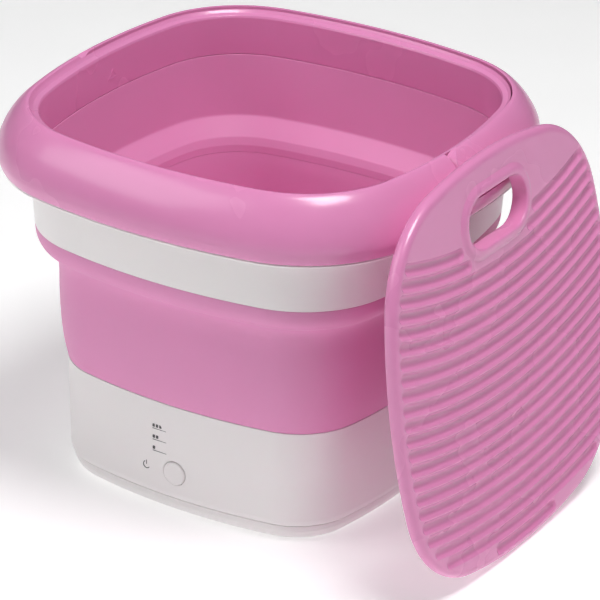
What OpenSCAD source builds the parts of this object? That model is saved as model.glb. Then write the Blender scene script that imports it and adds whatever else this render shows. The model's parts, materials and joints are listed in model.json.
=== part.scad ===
// Folding mini washer: a rounded square tub on a motor base, with a telescoping upper ring,
// a bail handle nested in its rim and a washboard lid leaning against its side.
// Origin: centre of the stand face at floor level. +Z up, the control panel faces -Y, the lid is at +X.

/* [Tub] */
// Width of the tub at the lower edge of the collar
tub_w = 386; // [376:1:396]
// Depth of the tub at the lower edge of the collar
tub_d = 380; // [370:1:390]
// Radius of the four corners at the lower edge of the collar
corner_r = 111; // [105:1:116]
// Half angle of the bulged arc on the left and right sides
side_arc = 11.2; // [10.4:0.1:12]
// Half angle of the bulged arc on the front and back sides
front_arc = 10.8; // [10:0.1:11.6]
// Height of the base shell's top edge
base_top = 99; // [97:1:101]
// Height of the lower edge of the white band
band_z = 216.5; // [214:0.5:219]
// Thickness of the moulded walls
wall = 2.5; // [2:0.1:3]

/* [Handle] */
// Distance of the handle's pivot in front of the tub's centre
pivot_front = 5; // [3:1:7]
// Height of the handle's pivot
pivot_z = 299; // [298.6:0.1:299.2]
// Radius of the round end of each handle arm
tab_r = 17.6; // [17.2:0.1:17.6]

/* [Lid] */
// Width of the washboard lid
lid_w = 324; // [316:1:330]
// Height of the washboard lid
lid_h = 326; // [318:1:330]
// Thickness of the washboard lid
lid_t = 12; // [10:0.5:13]
// Lean of the lid from the vertical
lid_lean = 8.8; // [8:0.1:10]
// Sideways place of the lid's centre
lid_y = -12; // [-18:1:-4]
// Gap between the lid's back and the widest line of the collar
lid_gap = 4.2; // [3.2:0.1:6]

/* [Drive] */
// Module of the gears
gear_module = 1.5; // [1.5:0.1:1.6]
// Teeth on the output gear
gear_teeth = 40; // [40:1:42]
// Teeth on the motor's pinion
pinion_teeth = 12; // [12:1:13]
// Radius of the output shaft
shaft_r = 4; // [3.5:0.1:4.2]
// Radius of the impeller
impeller_r = 60; // [50:1:66]

/* [Hidden] */

pink = [0.93, 0.48, 0.70];
deep_pink = [0.85, 0.33, 0.60];
white = [0.94, 0.93, 0.92];
steel = [0.72, 0.73, 0.75];
rubber_grey = [0.45, 0.45, 0.47];

fit_gap = 0.05;          // radial clearance of a shaft in its bush
slack = 0.3;             // clearance between separate mouldings
far = 600;               // longer than the whole object
side_steps = 3;          // facets in half of a bulged side
corner_steps = 6;        // facets in a corner

// ---- Rounded square outlines -------------------------------------------------------------
// An outline is [half width, half depth, corner radius, side angle, front angle, P, Q], where
// P and Q are the side and front arc radii less the corner radius, found so that arcs join smoothly.
function solve_p(a, b, r, sa, fa) =
    ((a - r) * (1 - cos(fa)) - sin(fa) * (b - r))
    / ((1 - cos(sa)) * (1 - cos(fa)) - sin(fa) * sin(sa));
function solve_q(a, b, r, sa, fa) =
    ((1 - cos(sa)) * (b - r) - sin(sa) * (a - r))
    / ((1 - cos(sa)) * (1 - cos(fa)) - sin(fa) * sin(sa));
function make_outline(a, b, r, sa, fa) =
    [a, b, r, sa, fa, solve_p(a, b, r, sa, fa), solve_q(a, b, r, sa, fa)];

// Points of the +X +Y quarter of an outline moved outward by d
function quarter(o, d) = concat(
    [for (i = [0 : side_steps]) let (t = o[3] * i / side_steps)
        [o[0] - o[2] - o[5] + (o[5] + o[2] + d) * cos(t), (o[5] + o[2] + d) * sin(t)]],
    [for (i = [1 : corner_steps]) let (t = o[3] + (90 - o[3] - o[4]) * i / corner_steps)
        [o[0] - o[2] - o[5] + o[5] * cos(o[3]) + (o[2] + d) * cos(t),
         o[5] * sin(o[3]) + (o[2] + d) * sin(t)]],
    [for (i = [1 : side_steps]) let (t = 90 - o[4] + o[4] * i / side_steps)
        [(o[6] + o[2] + d) * cos(t), o[1] - o[2] - o[6] + (o[6] + o[2] + d) * sin(t)]]
);

// The whole outline moved outward by d, anticlockwise from +X
function ring_points(o, d) = let (q = quarter(o, d), n = len(q)) concat(
    q,
    [for (i = [n - 2 : -1 : 0]) [-q[i].x, q[i].y]],
    [for (i = [1 : n - 1]) [-q[i].x, -q[i].y]],
    [for (i = [n - 2 : -1 : 1]) [q[i].x, -q[i].y]]
);

// All the points of a loft: one ring for each [d, z] of the section
function loft_points(o, section) =
    [for (s = section) for (p = ring_points(o, s[0])) [p.x, p.y, s[1]]];

// Faces between rings i and j, where n is the number of points in a ring
function band_faces(i, j, n) =
    [for (k = [0 : n - 1]) [i * n + k, i * n + (k + 1) % n, j * n + (k + 1) % n, j * n + k]];

// A ring with a closed section, listed clockwise: up the outside, down the inside
module loft_ring(o, section) {
    n = len(ring_points(o, 0));
    m = len(section);
    polyhedron(
        points = loft_points(o, section),
        faces = [for (i = [0 : m - 1]) for (f = band_faces((i + 1) % m, i, n)) f],
        convexity = 8
    );
}

// A solid closed at both ends by flat faces: first ring lowest outside, last ring inside or on top
module loft_solid(o, section) {
    n = len(ring_points(o, 0));
    m = len(section);
    polyhedron(
        points = loft_points(o, section),
        faces = concat(
            [[for (k = [0 : n - 1]) k]],
            [for (i = [0 : m - 2]) for (f = band_faces(i + 1, i, n)) f],
            [[for (k = [n - 1 : -1 : 0]) (m - 1) * n + k]]
        ),
        convexity = 8
    );
}

module prism(o, d, z0, z1) {
    translate([0, 0, z0]) linear_extrude(z1 - z0) polygon(ring_points(o, d));
}

tub = make_outline(tub_w / 2, tub_d / 2, corner_r, side_arc, front_arc);
ring_n = len(ring_points(tub, 0));

// A cylinder along X, Y or Z from one coordinate to another
module rod_z(r, z0, z1) { translate([0, 0, z0]) cylinder(r = r, h = z1 - z0, $fn = 64); }
module rod_x(r, x0, x1) { rotate([0, 90, 0]) rod_z(r, x0, x1); }
module rod_y(r, y0, y1) { rotate([-90, 0, 0]) rod_z(r, y0, y1); }

// A pan head screw pointing up, with its head's underside at z = 0
module screw_up(shank_r, length, head_r, head_h) {
    rod_z(shank_r, 0, length);
    difference() {
        rod_z(head_r, -head_h, 0);
        for (a = [0, 90]) rotate([0, 0, a])
            translate([-head_r * 0.55, -head_r * 0.12, -head_h - 1]) cube([head_r * 1.1, head_r * 0.24, 1.6]);
    }
}

// ---- Sections of the tub: [distance outside the collar's lower outline, height] ----------------
seam_z = 15;
recess_z = 1.2;
plate_z = recess_z + wall;
floor_z = 49;
floor_under = floor_z - wall;
skirt_z = 195;
flange_z = 267.2;
shelf_z = 281;
rim_z = 316.6;
bulge = 2.2;             // how far the collar stands outside its own lower edge
lip_d = -24.1;           // outer face of the inner lip, where the handle nests against it

collar_outer = [
    [-1.6, 267.4], [-0.2, 268.4], [1.2, 272.5], [bulge, 277.5], [1.5, 284], [-0.8, 291.5], [-5, 300],
    [-11, 308.3], [-16.2, 313.6], [-19.4, 315.9], [-21.3, rim_z]
];
handle_outer = [
    [0.2, 281.5], [1.1, 283], [-0.8, 291.5], [-5, 300], [-11, 308.3], [-16.2, 313.6],
    [-19.4, 315.9], [-21.3, rim_z], [-22.8, 316.2], [-23.3, 315]
];

// ---- Base ------------------------------------------------------------------------------------
button_x = 2;
button_z = 39;
button_r = 10;
inlet_x = -40;
inlet_z = 38;
inlet_r = 5.5;
inlet_bore_r = 2.75;
inlet_bore_l = 9;
inlet_rim = 2;           // how far the inlet's rim stands out of the back
spout_x = 40;
spout_y = 84;
spout_z = 30;
spout_r = 8;
spout_bore = 6;
low_wall_d = -53.7;               // outer face of the base wall at the button, inlet and spout
front_arc_r = tub[6] + corner_r + low_wall_d;
front_y = -tub_d / 2 - low_wall_d;
back_y = -front_y - front_arc_r + sqrt(pow(front_arc_r, 2) - pow(spout_x, 2));
post_index = [0, 6, 18, 24, 30, 42];
post_d = -82;
post_r = 4;
pad_index = [6, 18, 30, 42];
pad_d = -100;
pad_r = 9;
pad_h = 2.4;

// Copies at points of the tub's outline moved out by d, each turned to face outward
module at_ring(d, indices) {
    points = ring_points(tub, d);
    for (i = indices) translate([points[i].x, points[i].y, 0]) rotate([0, 0, i * 360 / ring_n]) children();
}

post_wall_gap = -post_d - 56;      // from a post's axis to the inside of the wall
board_y = front_y + 14;
board_x0 = -44;
board_x1 = 30;
board_z0 = 14;
board_z1 = 46;
board_screw_x = [board_x0 + 5, board_x1 - 5];
board_screw_z = board_z0 + 5;

module base_shell() {
    color(white) difference() {
        union() {
            loft_ring(tub, [
                [-56.2, seam_z + 0.3], [-54.9, 17], [-54.3, 20], [-54, 30], [-53.2, 65], [-52.3, base_top],
                [-52.3 - wall, base_top], [-53.2 - wall, 65], [-54 - wall, 30], [-54.3 - wall, seam_z + 0.3]
            ]);
            at_ring(post_d, post_index) {
                rod_z(post_r, plate_z + 0.3, 34);
                translate([0, -1.25, seam_z + 1]) cube([post_wall_gap, 2.5, 18]);
            }
            for (x = board_screw_x) translate([x, 0, board_screw_z]) rod_y(3.6, front_y + 2.8, board_y - 0.1);
        }
        at_ring(post_d, post_index) rod_z(1.5, 0, 20);
        for (x = board_screw_x) translate([x, 0, board_screw_z]) rod_y(1.55, board_y - 7, board_y);
        translate([button_x, 0, button_z]) rod_y(button_r + slack, -far, -100);
        translate([inlet_x, 0, inlet_z]) rod_y(inlet_r, 100, far);
        translate([spout_x, 0, spout_z]) rod_y(spout_r + 0.2, 100, far);
    }
}

module base_plate() {
    color(white) difference() {
        loft_solid(tub, [
            [-69, 0], [-65.2, 1.2], [-61.4, 4], [-58.6, 8], [-57.2, 12], [-57, seam_z],
            [-59.5, seam_z], [-59.8, 12], [-61.5, 8], [-64, 5.2], [-67, plate_z]
        ]);
        prism(tub, -76, -1, recess_z);
        at_ring(pad_d, pad_index) rod_z(pad_r + 0.1, -1, pad_h);
        at_ring(post_d, post_index) rod_z(1.7, -1, 20);
        for (k = [-3 : 3]) translate([k * 9 - 1.5, -62, -1]) cube([3, 34, 8]);
    }
}

module foot_pads() { color(rubber_grey) at_ring(pad_d, pad_index) rod_z(pad_r, 0, pad_h); }

module plate_screws() {
    color(steel) at_ring(post_d, post_index) translate([0, 0, recess_z]) screw_up(1.45, 14, 3, 0.9);
}

case_ears = [[-29, -29], [29, -29], [-29, 29], [29, 29]];

module basin() {
    color(deep_pink) difference() {
        union() {
            loft_solid(tub, [
                [-88, floor_under], [-79.5, 48.3], [-72.4, 54.6], [-67.6, 66], [-63.8, 84], [-62.4, 94],
                [-55.1, base_top - 4], [-55.1, base_top - 0.2], [-64.9, base_top - 0.2],
                [-66.3, 84], [-70.2, 66.6], [-74.6, 56.2], [-80.6, 51], [-88.5, floor_z]
            ]);
            rod_z(13, 41.5, floor_z);
            for (p = case_ears) translate(p) rod_z(4.5, 27.8, floor_z - 1);
        }
        rod_z(seal_r + seat_gap, 41, 47.4);
        rod_z(5.4, 41, 60);
        for (p = case_ears) translate(p) rod_z(1.55, 27, 40);
        translate([spout_x, spout_y, 0]) rod_z(spout_bore, 40, 60);
    }
}

module bellows() {
    color(pink) loft_ring(tub, [
        [-52.3, base_top], [-51.4, 103], [-49, 116], [-47, 134], [-46, 155], [-45.8, 174], [-44.8, 184],
        [-42.5, 190.4], [-40, skirt_z - 0.3],
        [-46.8, skirt_z - 0.3], [-47.6, 186], [-48, 174], [-48.2, 155], [-49.3, 134], [-51.4, 116],
        [-54, 105], [-56.5, 101.6], [-62.6, 101.6], [-62.6, base_top]
    ]);
}

// ---- Drive -----------------------------------------------------------------------------------
centre_gap = gear_module * (gear_teeth + pinion_teeth) / 2;
gear_r = gear_module * gear_teeth / 2;
pinion_r = gear_module * pinion_teeth / 2;
gear_z0 = 15.5;
gear_z1 = 22.5;
case_z0 = 12.5;
case_z1 = 24.5;
case_top = 27.5;
motor_top = 45.4;
motor_r = 18;
motor_shaft_r = 1.6;
bush_r = 7;
seal_r = 9;
seat_gap = 0.02;         // clearance of a bush or the seal in its seat
case_side = 3;           // wall of the gearbox around the gears
cover_z0 = case_z0 - 3.2;
cover_z1 = case_z0 - 0.2;

module gear_space(grow) {
    circle(r = gear_r + 3.5 + grow, $fn = 96);
    translate([0, centre_gap]) circle(r = pinion_r + 5 + grow, $fn = 96);
    translate([-pinion_r - 5 - grow, 0]) square([2 * (pinion_r + 5 + grow), centre_gap]);
}

// A solid spur gear with straight sided teeth, one tooth on the +Y axis turned by a
module spur(teeth, a, z0, z1) {
    pitch = gear_module * teeth / 2;
    root = pitch - 1.25 * gear_module;
    tip = pitch + 0.9 * gear_module;
    step = 360 / teeth;
    tooth = [[root, -0.34], [tip, -0.13], [tip, 0.13], [root, 0.34]];
    translate([0, 0, z0]) linear_extrude(z1 - z0) rotate([0, 0, 90 + a])
        polygon([for (k = [0 : teeth - 1]) for (c = tooth)
            [c[0] * cos((k + c[1]) * step), c[0] * sin((k + c[1]) * step)]]);
}

cover_points = [[37, -4], [-37, -4], [0, -37], [0, 57]];
motor_screw_points = [[-8.5, 0], [8.5, 0]];

module gearbox_case() {
    color("dimgray") difference() {
        union() {
            translate([0, 0, case_z0]) linear_extrude(case_top - case_z0) gear_space(case_side);
            for (p = cover_points) translate(p) rod_z(4, case_z0, case_top);
            for (p = case_ears) translate(p) rod_z(6, case_top - 4, case_top);
            rod_z(10, case_top - 1, 41);
        }
        translate([0, 0, case_z0 - 1]) linear_extrude(case_z1 - case_z0 + 1) gear_space(0);
        rod_z(bush_r + seat_gap, case_z1 + 1, 60);
        rod_z(5, case_z0, 60);
        translate([0, centre_gap, 0]) rod_z(5, case_z0, 60);
        for (p = motor_screw_points) translate([p.x, p.y + centre_gap, 0]) rod_z(1.3, case_z0, 60);
        for (p = case_ears) translate(p) rod_z(1.9, case_z0, 60);
        for (p = cover_points) translate(p) rod_z(1.25, case_z0 - 1, case_top - 4);
    }
}

module gearbox_cover() {
    color("gray") difference() {
        union() {
            translate([0, 0, cover_z0]) linear_extrude(cover_z1 - cover_z0) gear_space(case_side);
            for (p = cover_points) translate(p) rod_z(4, cover_z0, cover_z1);
            rod_z(10, 6.5, cover_z1);
        }
        rod_z(bush_r + seat_gap, 7.6, 20);
        for (p = cover_points) translate(p) rod_z(1.5, 5, 20);
    }
}

module cover_screws() {
    color(steel) for (p = cover_points) translate([p.x, p.y, cover_z0]) screw_up(1.2, 12, 2.6, 1.6);
}

module case_screws() {
    color(steel) for (p = case_ears) translate([p.x, p.y, case_top - 4]) screw_up(1.5, 14, 3.2, 2);
}

module motor_can() {
    color(steel) translate([0, centre_gap, 0]) difference() {
        union() {
            rod_z(motor_r, case_top + 0.1, motor_top);
            rod_z(4.9, case_top - 2, case_top + 1);
        }
        rod_z(motor_shaft_r + fit_gap, 0, 60);
        for (p = motor_screw_points) translate(p) rod_z(1.25, 20, 33);
        for (a = [45 : 90 : 315]) rotate([0, 0, a]) translate([12.5, -1.5, motor_top - 2]) cube([4, 3, 5]);
    }
}

module motor_screws() {
    color(steel) translate([0, centre_gap, 0])
        for (p = motor_screw_points) translate([p.x, p.y, case_z1]) screw_up(1.2, 7, 2.2, 1.2);
}

module motor_shaft() { color(steel) translate([0, centre_gap, 0]) rod_z(motor_shaft_r, 14, motor_top - 0.8); }

module motor_pinion() {
    color("ivory") translate([0, centre_gap, 0]) difference() {
        spur(pinion_teeth, 180, gear_z0, gear_z1);
        rod_z(motor_shaft_r + 0.01, 0, 60);
    }
}

module output_gear() {
    color("ivory") difference() {
        union() {
            spur(gear_teeth, 180 / gear_teeth, gear_z0, gear_z1);
            rod_z(9, gear_z0 - 1, gear_z1 + 1);
        }
        rod_z(shaft_r + 0.01, 0, 60);
    }
}

module bush(z0, z1) {
    difference() {
        rod_z(bush_r, z0, z1);
        rod_z(shaft_r + fit_gap, 0, 80);
    }
}

module lower_bush() { color("darkgoldenrod") bush(7.7, 14); }

module upper_bush() { color("darkgoldenrod") bush(case_z1 + 1.05, 40); }

module shaft_seal() {
    color("black") difference() {
        rod_z(seal_r, 41.8, 47.3);
        rod_z(shaft_r + fit_gap, 0, 80);
        rotate_extrude($fn = 96) translate([6.6, 41.5]) square([1.2, 2.5]);
    }
}

module output_shaft() {
    color(steel) difference() {
        rod_z(shaft_r, 8, 58);
        rod_z(1.65, 47, 60);
    }
}

// ---- Impeller --------------------------------------------------------------------------------
module impeller() {
    color(white) difference() {
        union() {
            rotate_extrude($fn = 128) polygon([
                [0, 51], [impeller_r - 3, 51], [impeller_r, 52.5], [impeller_r, 54], [impeller_r - 4, 55],
                [20, 55.6], [11, 60], [0, 60]
            ]);
            for (a = [0 : 72 : 359]) rotate([0, 0, a]) translate([10, -3.5, 54]) linear_extrude(7)
                polygon([[0, 0], [12, 0], [impeller_r - 18, 2], [impeller_r - 18, 5], [12, 7], [0, 7]]);
            rod_z(10, 49.6, 60);
        }
        rod_z(shaft_r + 0.02, 40, 58.1);
        rod_z(1.75, 40, 80);
    }
}

module impeller_screw() {
    color(steel) translate([0, 0, 60]) rotate([180, 0, 0]) screw_up(1.6, 12, 3.6, 2.2);
}

module impeller_cap() {
    color(deep_pink) difference() {
        rotate_extrude($fn = 96) polygon([
            [0, 60.1], [9, 60.1], [9, 62.5], [7.6, 64.6], [5, 66], [0, 66.6]
        ]);
        rod_z(4.2, 50, 62.8);
    }
}

module transducer() {
    color("lightgray") translate([-52, -34, 0]) {
        rod_z(15, floor_under - 3, floor_under - 0.1);
        rod_z(9, floor_under - 5, floor_under - 3);
    }
}

// ---- Controls --------------------------------------------------------------------------------
indicator_z = [57, 67, 77];
indicator_x = -9;

module control_board() {
    color("seagreen") {
        difference() {
            translate([board_x0, board_y, board_z0]) cube([board_x1 - board_x0, 1.6, board_z1 - board_z0]);
            for (x = board_screw_x) translate([x, 0, board_screw_z]) rod_y(1.7, -far, 0);
        }
        translate([board_x0 + 12, board_y + 1.6, board_z0 + 8]) cube([14, 5, 14]);
        translate([board_x0 + 34, board_y + 1.6, board_z0 + 6]) cube([9, 3, 9]);
        translate([board_x0 + 54, board_y + 1.6, board_z0 + 10]) rod_y(4, 0, 9);
    }
}

module board_screws() {
    color(steel) for (x = board_screw_x)
        translate([x, board_y + 1.6, board_screw_z]) rotate([90, 0, 0]) screw_up(1.5, 6, 2.8, 1.8);
}

module tact_switch() {
    color("dimgray") {
        translate([button_x - 3, board_y - 3.6, button_z - 3]) cube([6, 3.5, 6]);
        translate([button_x, 0, button_z]) rod_y(1.7, board_y - 4.9, board_y - 3.5);
    }
}

module power_button() {
    color(white) translate([button_x, 0, button_z]) {
        rod_y(button_r, front_y - 0.7, front_y + 2.4);
        rod_y(button_r + 1.2, front_y + 3.3, front_y + 4.5);
        rod_y(button_r - 0.5, front_y + 2.4, front_y + 3.3);
        rod_y(2.6, front_y + 4.5, board_y - 6.3);
    }
}

module light_guide() {
    color([0.9, 0.95, 1]) {
        translate([indicator_x - 3, board_y - 8, 50]) cube([6, 3, 32]);
        translate([indicator_x - 3, board_y - 8, 43]) cube([6, 7.8, 3]);
        translate([indicator_x - 3, board_y - 8, 43]) cube([6, 3, 8]);
        for (z = indicator_z) translate([indicator_x, 0, z]) rod_y(1.5, board_y - 10, board_y - 7);
    }
}

module dc_inlet() {
    color("black") translate([inlet_x, 0, inlet_z]) difference() {
        union() {
            rod_y(inlet_r - 0.1, back_y - 14, back_y + 1);
            rod_y(7.2, back_y + 0.8, back_y + inlet_rim);
        }
        rod_y(inlet_bore_r, back_y + inlet_rim - inlet_bore_l, far);
    }
}

module inlet_nut() {
    color(steel) translate([inlet_x, back_y - 6.3, inlet_z]) rotate([-90, 0, 0]) difference() {
        cylinder(r = 8.4, h = 2.4, $fn = 6);
        cylinder(r = inlet_r - 0.05, h = 8, center = true, $fn = 64);
    }
}

module drain_spout() {
    color(white) difference() {
        union() {
            translate([spout_x, 0, spout_z]) rod_y(spout_r, spout_y - spout_r, back_y + 9);
            translate([spout_x, spout_y, 0]) rod_z(spout_r, spout_z, floor_under - 0.1);
            translate([spout_x, 0, spout_z]) rod_y(spout_r + 3, back_y - 7.8, back_y - 5.4);
        }
        translate([spout_x, 0, spout_z]) rod_y(spout_bore, spout_y - 5, far);
        translate([spout_x, spout_y, 0]) rod_z(spout_bore, spout_z, 60);
    }
}

module spout_gasket() {
    color("black") translate([spout_x, 0, spout_z]) difference() {
        rod_y(spout_r + 3, back_y - 5.3, back_y - 4.5);
        rod_y(spout_r + 0.05, 0, far);
    }
}

module drain_cap() {
    color(deep_pink) translate([spout_x, 0, spout_z]) difference() {
        union() {
            rod_y(11, back_y + 1.2, back_y + 12);
            translate([-9, back_y + 11, -1.5]) cube([18, 6, 3]);
        }
        rod_y(spout_r + 0.1, 0, back_y + 9.3);
    }
}

module cap_seal() {
    color("black") translate([spout_x, 0, spout_z]) rod_y(spout_bore - 0.3, back_y + 5, back_y + 9.3);
}

// ---- Upper ring ------------------------------------------------------------------------------
boss_index = [3, 9, 15, 21, 27, 33, 39, 45];
boss_d = -13;
pin_r = 4;

// The collar's section filled in, with its outline running inside the thickness of the skin
module filled_rim() {
    loft_ring(tub, [
        [-1.6, 272], [0.6, 278], [0.1, 284], [-2.2, 291.2], [-6.2, 299.3], [-12.1, 307.5], [-17.4, 312.8],
        [-20.6, 314.2], [-23.4, 312.4], [-26.2, 310.2], [-29.8, 309.8], [-30.4, 272]
    ]);
}

// A prism along X over everything behind a line that rounds the pivot, from the angle "from"
// down to the pivot's underside
module behind_pivot(grow, from) {
    r = tab_r + grow;
    rotate([90, 0, 90]) translate([0, 0, -far]) linear_extrude(2 * far) polygon(concat(
        [[far, pivot_z - r], [far, far], [-pivot_front + r * cos(from), far]],
        [for (t = [from : 7.5 : 270]) [-pivot_front + r * cos(t), pivot_z + r * sin(t)]]
    ));
}

module collar() {
    color(pink) difference() {
        union() {
            loft_ring(tub, concat(
                collar_outer,
                [[-23, 316], [-24.3, 314], [-26.3, 311.8], [-30.6, 311], [-31.2, 309.5], [-31.6, 277.2],
                 [-29.2, 277.2], [-28.8, 308.6], [-24.8, 309.3], [-22.6, 311.4], [-18.4, 311.8],
                 [-13, 306.7], [-7.2, 298.6], [-3.2, 290.8], [-1, 283.6], [-0.4, 277.5], [-1.3, 273.3],
                 [-3, 269.6], [-4, 267.4]]
            ));
            difference() {
                prism(tub, 0.8, shelf_z - 3.2, shelf_z + 0.6);
                prism(tub, -30, shelf_z - 5, shelf_z + 2);
            }
            at_ring(boss_d, boss_index) rod_z(4, flange_z + 0.2, shelf_z - 2);
            intersection() {
                filled_rim();
                translate([-far / 2, -pivot_front - tab_r - 4, 277.4]) cube([far, 8, 60]);
            }
        }
        difference() {
            behind_pivot(0.6, 180);
            prism(tub, lip_d, 0, far + 1);
        }
        at_ring(boss_d, boss_index) rod_z(1.55, 200, 277.5);
    }
}

module band_ring() {
    color(white) difference() {
        loft_ring(tub, [
            [-26.8, band_z], [-25.4, 240], [-24.2, 258], [-22.4, 262.6], [-18, 264.6], [-2, 264.8],
            [-1.4, 266], [-2, flange_z], [-26.8, flange_z], [-27.2, 260], [-29.2, band_z]
        ]);
        at_ring(boss_d, boss_index) rod_z(1.8, 200, 300);
    }
}

module bellows_skirt() {
    color(pink) loft_ring(tub, [
        [-40, skirt_z], [-35.8, 197.2], [-31.2, 201.8], [-28.4, 208], [-27.1, band_z - 0.2],
        [-29.3, band_z - 0.2], [-30.4, 209.4], [-32.8, 204.6], [-37, 200.8], [-41.6, 199.4], [-43.2, 203.5],
        [-41.8, 207.3], [-33, 218.4], [-31, 222.5], [-29.5, 226], [-29.5, 276.8], [-31.8, 276.8],
        [-33.6, 223], [-35.2, 219.6], [-44.2, 208], [-46.2, 204], [-46.8, skirt_z]
    ]);
}

module ring_screws() {
    color(steel) at_ring(boss_d, boss_index) translate([0, 0, 264.6]) screw_up(1.5, 11, 3, 1.8);
}

module pivot_pins() {
    color(steel) for (s = [0, 1]) mirror([s, 0, 0]) translate([0, -pivot_front, pivot_z]) {
        rod_x(pin_r, tub_w / 2 - 30, tub_w / 2 - 10);
        rod_x(pin_r + 2.5, tub_w / 2 - 29, tub_w / 2 - 25.2);
    }
}

module handle_bail() {
    color(pink) difference() {
        intersection() {
            union() {
                loft_ring(tub, concat(
                    handle_outer,
                    [[-23.3, 311.5], [-21.4, 311.2], [-18.6, 311.4], [-13.2, 305.6], [-8, 297.8],
                     [-4.2, 290.4], [-2.6, 283], [-2.6, 281.5]]
                ));
                intersection() {
                    loft_ring(tub, concat(handle_outer, [[-23.3, 281.5]]));
                    translate([0, -pivot_front, pivot_z]) rod_x(tab_r - 0.05, -far, far);
                }
            }
            behind_pivot(0, 90);
        }
        translate([0, -pivot_front, pivot_z]) rod_x(pin_r + fit_gap, -(tub_w / 2 - 9), tub_w / 2 - 9);
    }
}

// ---- Washboard lid ---------------------------------------------------------------------------
lid = make_outline(lid_w / 2, lid_h / 2, 88, 11.2, 11.2);
hole_v = 114;
hole_w = 88;
hole_h = 42;
lip_w = 8;
lip_rise = 2.5;
flute_pitch = 11.8;
flute_centre = 544;
flute_first_r = 448;
flute_count = 22;
flute_depth = 2;
flute_w = 10;
touch_z = 279;           // height of the collar's widest line

module stadium(w, h) {
    for (s = [-1, 1]) translate([s * (w - h) / 2, 0]) circle(r = h / 2, $fn = 96);
    square([w - h, h], center = true);
}

// One washboard groove, as a flat ring
module flute_arc(r) {
    difference() {
        circle(r = r + flute_w / 2, $fn = 180);
        circle(r = r - flute_w / 2, $fn = 180);
    }
}

// Puts the lid, drawn flat with its back at z = 0, leaning on the collar with its edge on the floor
module lean_lid() {
    base_x = tub_w / 2 + bulge + lid_gap + (touch_z - lid_h / 2 * cos(lid_lean)) * tan(lid_lean);
    translate([base_x, lid_y, lid_h / 2 * cos(lid_lean)]) rotate([0, -lid_lean, 0]) rotate([90, 0, 90])
        children();
}

module washboard_lid() {
    color(pink) lean_lid() difference() {
        union() {
            loft_solid(lid, [
                [-4, 0], [-1.2, 1.2], [0, 4], [0, lid_t - 4], [-1.5, lid_t - 1.2], [-5, lid_t]
            ]);
            translate([0, hole_v, lid_t - 1]) linear_extrude(lip_rise + 1)
                stadium(hole_w + 2 * lip_w, hole_h + 2 * lip_w);
        }
        translate([0, hole_v, -1]) linear_extrude(lid_t + lip_rise + 2) stadium(hole_w, hole_h);
        difference() {
            prism(lid, -3, -1, lid_t - flute_depth - wall);
            translate([0, hole_v, -2]) linear_extrude(20) stadium(hole_w + 2 * wall, hole_h + 2 * wall);
        }
        intersection() {
            difference() {
                prism(lid, -9, lid_t - flute_depth - 1, lid_t + 1);
                translate([0, hole_v, lid_t - 9]) linear_extrude(20)
                    stadium(hole_w + 2 * lip_w + 2, hole_h + 2 * lip_w + 2);
            }
            translate([0, flute_centre, lid_t - flute_depth]) linear_extrude(flute_depth + 1)
                for (i = [0 : flute_count - 1]) flute_arc(flute_first_r + flute_pitch * i);
        }
    }
}

base_shell();
base_plate();
foot_pads();
plate_screws();
basin();
bellows();
gearbox_case();
gearbox_cover();
cover_screws();
case_screws();
motor_can();
motor_screws();
lower_bush();
upper_bush();
shaft_seal();
transducer();
control_board();
board_screws();
light_guide();
tact_switch();
dc_inlet();
inlet_nut();
drain_spout();
spout_gasket();
collar();
band_ring();
bellows_skirt();
ring_screws();
pivot_pins();
handle_bail();
washboard_lid();
impeller();
impeller_cap();
impeller_screw();
output_shaft();
output_gear();
motor_shaft();
motor_pinion();
power_button();
drain_cap();
cap_seal();
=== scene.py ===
"""Looks of the folding mini washer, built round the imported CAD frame. Metres, +Z up, front at -Y."""
import json
import math

import bmesh
import bpy
from mathutils import Matrix, Vector


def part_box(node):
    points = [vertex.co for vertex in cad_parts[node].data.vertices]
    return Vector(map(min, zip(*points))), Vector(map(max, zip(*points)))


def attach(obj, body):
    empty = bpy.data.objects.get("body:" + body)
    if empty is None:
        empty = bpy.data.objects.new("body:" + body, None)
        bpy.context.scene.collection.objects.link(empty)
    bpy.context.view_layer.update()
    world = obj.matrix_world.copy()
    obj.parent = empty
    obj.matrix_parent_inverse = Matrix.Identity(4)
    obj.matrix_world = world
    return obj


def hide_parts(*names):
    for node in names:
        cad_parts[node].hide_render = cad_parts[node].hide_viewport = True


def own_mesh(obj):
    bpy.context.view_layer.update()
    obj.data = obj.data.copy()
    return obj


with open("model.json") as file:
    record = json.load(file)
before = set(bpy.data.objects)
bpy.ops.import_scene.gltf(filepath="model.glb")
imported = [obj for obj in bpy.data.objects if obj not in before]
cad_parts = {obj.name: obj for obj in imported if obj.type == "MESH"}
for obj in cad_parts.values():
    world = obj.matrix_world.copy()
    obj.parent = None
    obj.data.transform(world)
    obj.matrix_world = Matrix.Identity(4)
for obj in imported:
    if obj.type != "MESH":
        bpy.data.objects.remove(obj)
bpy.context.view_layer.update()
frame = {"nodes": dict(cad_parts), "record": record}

MM = 0.001


# ---- Driving sizes, in millimetres, from the CAD frame ------------------------------------
def box_mm(node):
    low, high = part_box(node)
    return Vector(low) / MM, Vector(high) / MM


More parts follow.
